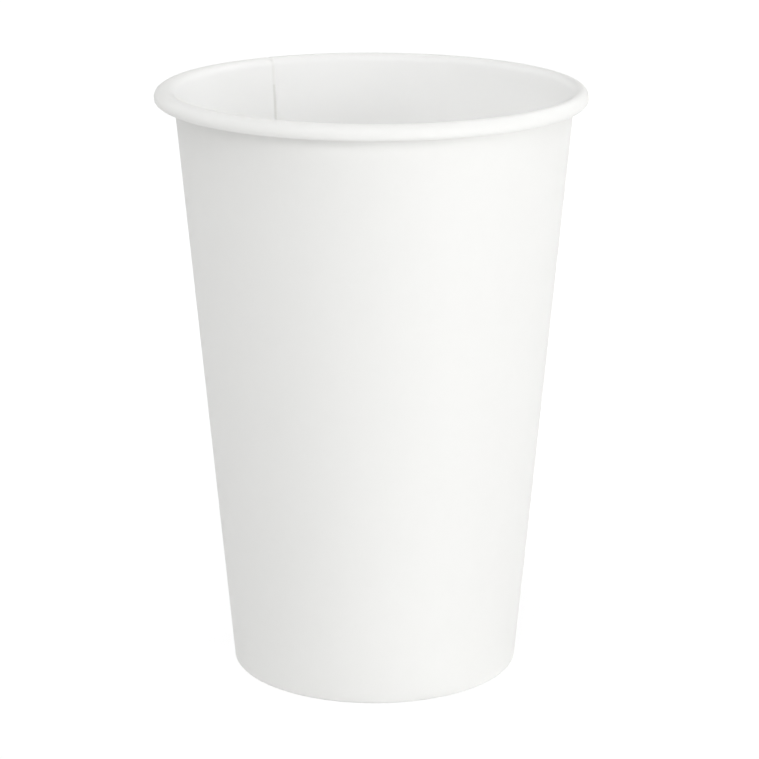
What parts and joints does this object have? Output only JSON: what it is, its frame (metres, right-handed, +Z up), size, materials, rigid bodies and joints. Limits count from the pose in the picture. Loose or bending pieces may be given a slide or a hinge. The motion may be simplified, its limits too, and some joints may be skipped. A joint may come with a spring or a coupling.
{
  "type": "paper coffee cup",
  "caption": "Tall single-wall white paper cup with a conical wall, lapped side seam, outward rolled rim and a recessed base gripped by a folded, crimped foot.",
  "frame": {"origin": "centre of the foot, on the surface that the cup stands on", "axes": "+Z up along the cup's axis, -Y towards the picture's viewer, side seam at the back left"},
  "size_m": [0.09, 0.09, 0.125],
  "materials": {
    "wall_board": "bleached cup board, smooth coated face",
    "base_board": "bleached cup board, smooth coated face"
  },
  "bodies": {
    "root": {"sidewall": "wall_board", "base_disc": "base_board"}
  },
  "joints": []
}
